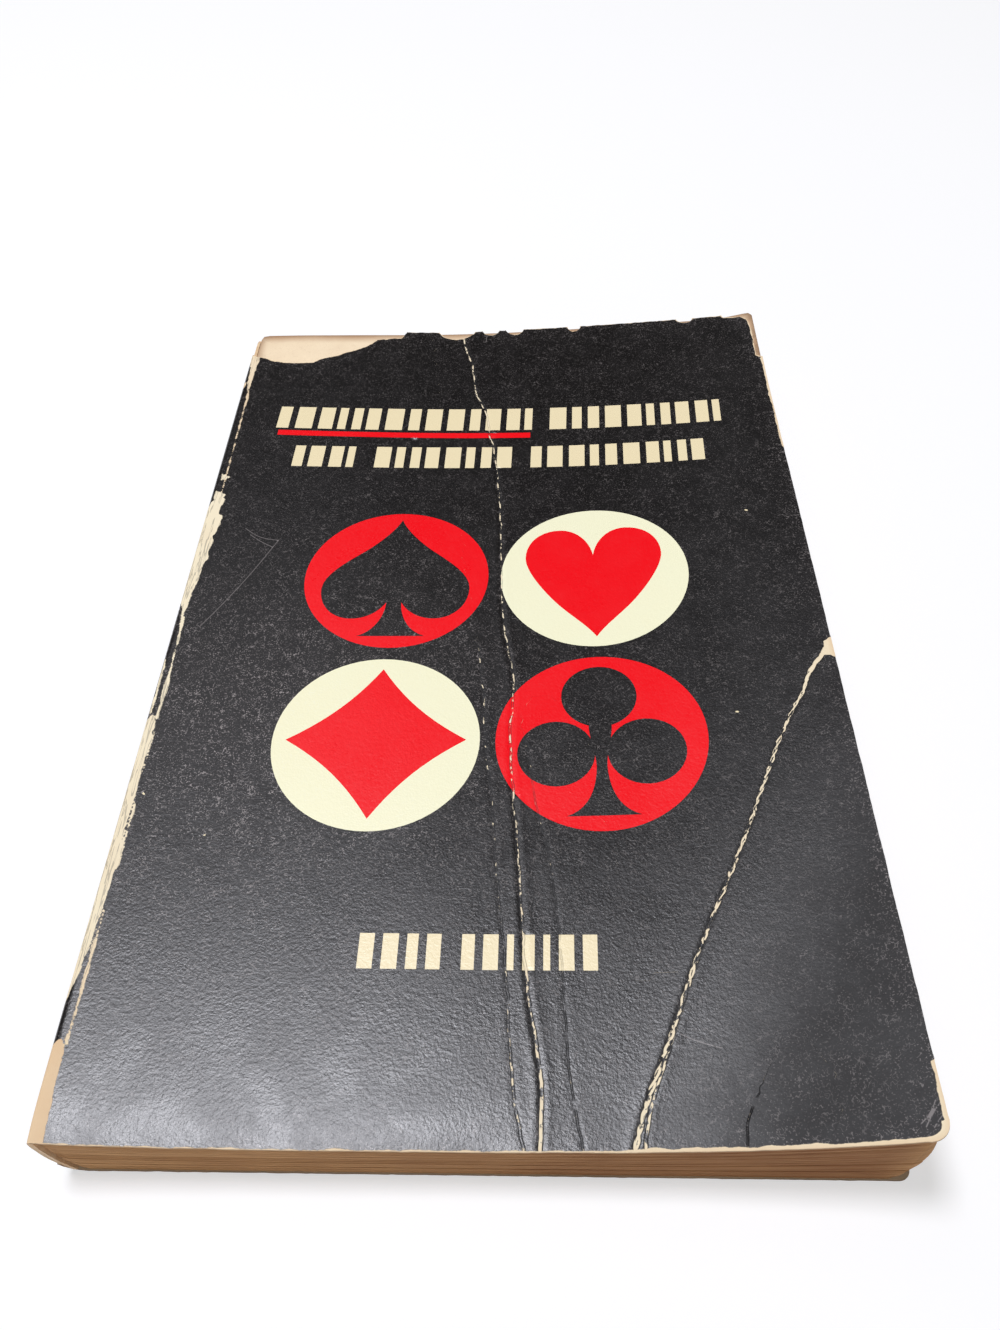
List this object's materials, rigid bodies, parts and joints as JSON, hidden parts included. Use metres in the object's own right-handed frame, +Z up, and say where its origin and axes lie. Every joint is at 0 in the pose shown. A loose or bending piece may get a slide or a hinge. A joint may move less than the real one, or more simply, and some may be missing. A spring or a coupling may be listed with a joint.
{
  "type": "paperback book",
  "caption": "Worn paperback book lying closed: warped block of leaves, bowed spine, creased front cover with a torn corner and flat back cover; both covers swing open",
  "frame": {"origin": "on the table, under the middle of the closed book", "axes": "+X from the spine to the fore edge, +Y from the tail to the head, +Z up out of the front cover"},
  "size_m": [0.1054, 0.165, 0.0176],
  "materials": {
    "leaves": "aged uncoated pulp paper",
    "binding_glue": "dried amber glue",
    "spine_card": "black coated card, worn",
    "front_card": "black coated card, worn",
    "back_card": "black coated card, worn"
  },
  "bodies": {
    "block": {"page_block": "leaves", "spine_glue": "binding_glue", "spine_cover": "spine_card"},
    "front": {"front_cover": "front_card"},
    "back": {"back_cover": "back_card"}
  },
  "joints": [
    {"name": "front_cover_hinge", "type": "hinge", "parent": "block", "child": "front", "pos_m": [-0.05269, 0, 0.01222], "axis": [0, -1, 0], "range_deg": [0, 180]},
    {"name": "back_cover_hinge", "type": "hinge", "parent": "block", "child": "back", "pos_m": [-0.05108, 0, 0.00017], "axis": [0, 1, 0], "range_deg": [0, 180]}
  ]
}
